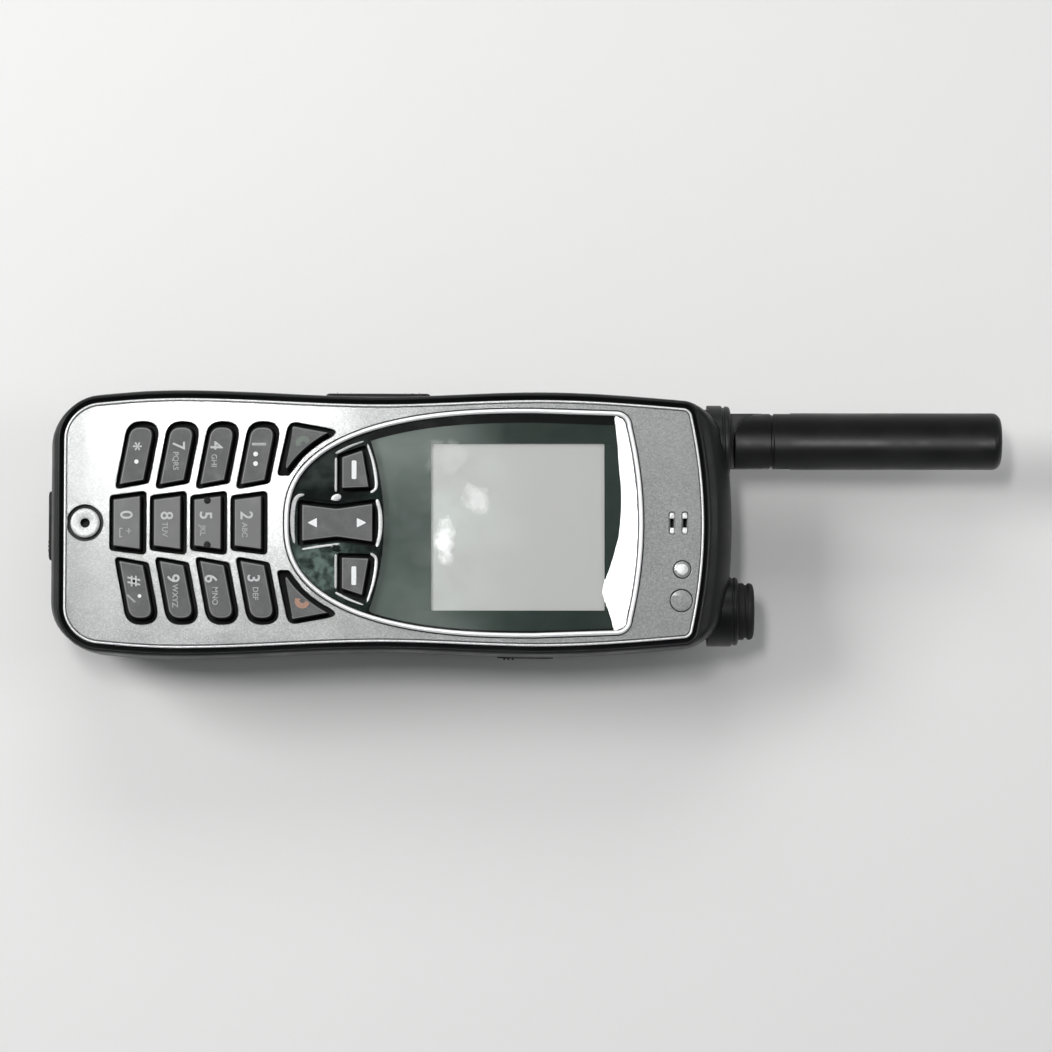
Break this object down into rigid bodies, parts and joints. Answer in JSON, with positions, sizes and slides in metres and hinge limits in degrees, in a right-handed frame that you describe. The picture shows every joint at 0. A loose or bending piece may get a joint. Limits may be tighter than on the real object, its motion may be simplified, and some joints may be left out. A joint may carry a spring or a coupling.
{
  "type": "satellite phone",
  "caption": "Rugged handheld satellite phone: silver front, keypad, small display, fold-over pull-out antenna, sliding battery latch.",
  "frame": {"origin": "on the battery's flat back face, under the middle of the casing's length and width", "axes": "+X along the phone to its antenna end, +Y to the antenna's side, which is the phone's left seen from the front, +Z out of the keypad and display"},
  "size_m": [0.2009, 0.0562, 0.0299],
  "materials": {
    "casing_black": "fine matt black moulding",
    "rubber_black": "soft matt black",
    "plate_silver": "satin silver paint with a fine sparkle",
    "ring_chrome": "bright plated",
    "window_clear": "clear with a dark green-grey tint",
    "bezel_gloss": "polished black",
    "screen_grey": "pale grey liquid crystal, switched off",
    "key_grey": "matt mid grey with pale legends",
    "board_green": "solder mask",
    "metal_frame": "as cast",
    "steel_parts": "bright",
    "contact_gold": "gold plated",
    "antenna_black": "satin black",
    "battery_grey": "matt dark grey"
  },
  "bodies": {
    "housing": {"front_housing": "casing_black", "rear_housing": "casing_black", "housing_gasket": "rubber_black", "face_plate": "plate_silver", "display_ring": "ring_chrome", "display_window": "window_clear", "nav_bezel": "bezel_gloss", "lcd_frame": "bezel_gloss", "lcd_panel": "screen_grey", "keypad_mat": "rubber_black", "mic_boss": "plate_silver", "microphone": "steel_parts", "earpiece_speaker": "steel_parts", "status_light_window": "plate_silver", "light_sensor_window": "plate_silver", "keypad_board": "board_green", "chassis_frame": "metal_frame", "main_board": "board_green", "shield_can": "steel_parts", "usb_connector": "steel_parts", "headset_jack": "bezel_gloss", "antenna_port": "contact_gold", "sim_holder": "steel_parts", "battery_contacts": "contact_gold", "case_screw_1": "steel_parts", "case_screw_2": "steel_parts", "case_screw_3": "steel_parts", "case_screw_4": "steel_parts", "power_collar": "casing_black", "antenna_sleeve": "casing_black", "antenna_collar": "casing_black"},
    "key_1": {"key_1": "key_grey"},
    "key_2": {"key_2": "key_grey"},
    "key_3": {"key_3": "key_grey"},
    "key_4": {"key_4": "key_grey"},
    "key_5": {"key_5": "key_grey"},
    "key_6": {"key_6": "key_grey"},
    "key_7": {"key_7": "key_grey"},
    "key_8": {"key_8": "key_grey"},
    "key_9": {"key_9": "key_grey"},
    "key_star": {"key_star": "key_grey"},
    "key_0": {"key_0": "key_grey"},
    "key_hash": {"key_hash": "key_grey"},
    "key_send": {"key_send": "key_grey"},
    "key_end": {"key_end": "key_grey"},
    "key_soft_left": {"key_soft_left": "key_grey"},
    "key_soft_right": {"key_soft_right": "key_grey"},
    "nav_rocker": {"nav_rocker": "key_grey"},
    "volume_rocker": {"volume_rocker": "rubber_black"},
    "power_button": {"power_button": "rubber_black"},
    "antenna_slider": {"antenna_base": "antenna_black", "antenna_pivot_pin": "steel_parts"},
    "antenna_mast": {"antenna_mast": "antenna_black"},
    "battery": {"battery_shell": "battery_grey", "battery_cell": "metal_frame", "battery_terminals": "contact_gold"},
    "battery_latch": {"battery_latch": "casing_black"},
    "usb_cover": {"usb_cover": "rubber_black"},
    "headset_cover": {"headset_cover": "rubber_black"},
    "antenna_port_cover": {"antenna_port_cover": "rubber_black"}
  },
  "joints": [
    {"name": "key_1_press", "type": "slide", "parent": "housing", "child": "key_1", "axis": [0, 0, 1], "range_m": [-0.0006, 0], "stiffness_N_per_m": 25, "springref_m": 0.0003},
    {"name": "key_2_press", "type": "slide", "parent": "housing", "child": "key_2", "axis": [0, 0, 1], "range_m": [-0.0006, 0], "stiffness_N_per_m": 25, "springref_m": 0.0003},
    {"name": "key_3_press", "type": "slide", "parent": "housing", "child": "key_3", "axis": [0, 0, 1], "range_m": [-0.0006, 0], "stiffness_N_per_m": 25, "springref_m": 0.0003},
    {"name": "key_4_press", "type": "slide", "parent": "housing", "child": "key_4", "axis": [0, 0, 1], "range_m": [-0.0006, 0], "stiffness_N_per_m": 25, "springref_m": 0.0003},
    {"name": "key_5_press", "type": "slide", "parent": "housing", "child": "key_5", "axis": [0, 0, 1], "range_m": [-0.0006, 0], "stiffness_N_per_m": 25, "springref_m": 0.0003},
    {"name": "key_6_press", "type": "slide", "parent": "housing", "child": "key_6", "axis": [0, 0, 1], "range_m": [-0.0006, 0], "stiffness_N_per_m": 25, "springref_m": 0.0003},
    {"name": "key_7_press", "type": "slide", "parent": "housing", "child": "key_7", "axis": [0, 0, 1], "range_m": [-0.0006, 0], "stiffness_N_per_m": 25, "springref_m": 0.0003},
    {"name": "key_8_press", "type": "slide", "parent": "housing", "child": "key_8", "axis": [0, 0, 1], "range_m": [-0.0006, 0], "stiffness_N_per_m": 25, "springref_m": 0.0003},
    {"name": "key_9_press", "type": "slide", "parent": "housing", "child": "key_9", "axis": [0, 0, 1], "range_m": [-0.0006, 0], "stiffness_N_per_m": 25, "springref_m": 0.0003},
    {"name": "key_star_press", "type": "slide", "parent": "housing", "child": "key_star", "axis": [0, 0, 1], "range_m": [-0.0006, 0], "stiffness_N_per_m": 25, "springref_m": 0.0003},
    {"name": "key_0_press", "type": "slide", "parent": "housing", "child": "key_0", "axis": [0, 0, 1], "range_m": [-0.0006, 0], "stiffness_N_per_m": 25, "springref_m": 0.0003},
    {"name": "key_hash_press", "type": "slide", "parent": "housing", "child": "key_hash", "axis": [0, 0, 1], "range_m": [-0.0006, 0], "stiffness_N_per_m": 25, "springref_m": 0.0003},
    {"name": "key_send_press", "type": "slide", "parent": "housing", "child": "key_send", "axis": [0, 0, 1], "range_m": [-0.0006, 0], "stiffness_N_per_m": 25, "springref_m": 0.0003},
    {"name": "key_end_press", "type": "slide", "parent": "housing", "child": "key_end", "axis": [0, 0, 1], "range_m": [-0.0006, 0], "stiffness_N_per_m": 25, "springref_m": 0.0003},
    {"name": "key_soft_left_press", "type": "slide", "parent": "housing", "child": "key_soft_left", "axis": [0, 0, 1], "range_m": [-0.0006, 0], "stiffness_N_per_m": 25, "springref_m": 0.0003},
    {"name": "key_soft_right_press", "type": "slide", "parent": "housing", "child": "key_soft_right", "axis": [0, 0, 1], "range_m": [-0.0006, 0], "stiffness_N_per_m": 25, "springref_m": 0.0003},
    {"name": "nav_rocker_tilt", "type": "hinge", "parent": "housing", "child": "nav_rocker", "pos_m": [-0.0113, 0, 0.027], "axis": [0, 1, 0], "range_deg": [-4, 4], "stiffness_Nm_per_rad": 0.002},
    {"name": "volume_rocker_tilt", "type": "hinge", "parent": "housing", "child": "volume_rocker", "pos_m": [-0.003, 0.026, 0.0174], "axis": [0, 0, 1], "range_deg": [-4, 4], "stiffness_Nm_per_rad": 0.002},
    {"name": "power_button_press", "type": "slide", "parent": "housing", "child": "power_button", "axis": [-1, 0, 0], "range_m": [0, 0.001], "stiffness_N_per_m": 25, "springref_m": -0.0003},
    {"name": "antenna_slide", "type": "slide", "parent": "housing", "child": "antenna_slider", "axis": [1, 0, 0], "range_m": [-0.05, 0]},
    {"name": "antenna_tilt", "type": "hinge", "parent": "antenna_slider", "child": "antenna_mast", "pos_m": [0.0778, 0.018, 0.0167], "axis": [0, 0, 1], "range_deg": [0, 90]},
    {"name": "battery_release", "type": "slide", "parent": "housing", "child": "battery", "axis": [0, 0, -1], "range_m": [0, 0.03]},
    {"name": "battery_latch_slide", "type": "slide", "parent": "battery", "child": "battery_latch", "axis": [-1, 0, 0], "range_m": [0, 0.0025], "stiffness_N_per_m": 40, "springref_m": -0.001},
    {"name": "usb_cover_hinge", "type": "hinge", "parent": "housing", "child": "usb_cover", "pos_m": [-0.0718, 0.007, 0.0171], "axis": [0, 0, -1], "range_deg": [0, 110]},
    {"name": "headset_cover_hinge", "type": "hinge", "parent": "housing", "child": "headset_cover", "pos_m": [0.0337, -0.0276, 0.016], "axis": [0, 0, 1], "range_deg": [0, 110]},
    {"name": "antenna_port_cover_hinge", "type": "hinge", "parent": "housing", "child": "antenna_port_cover", "pos_m": [0.058, -0.01345, 0.0012], "axis": [-1, 0, 0], "range_deg": [0, 90]}
  ]
}
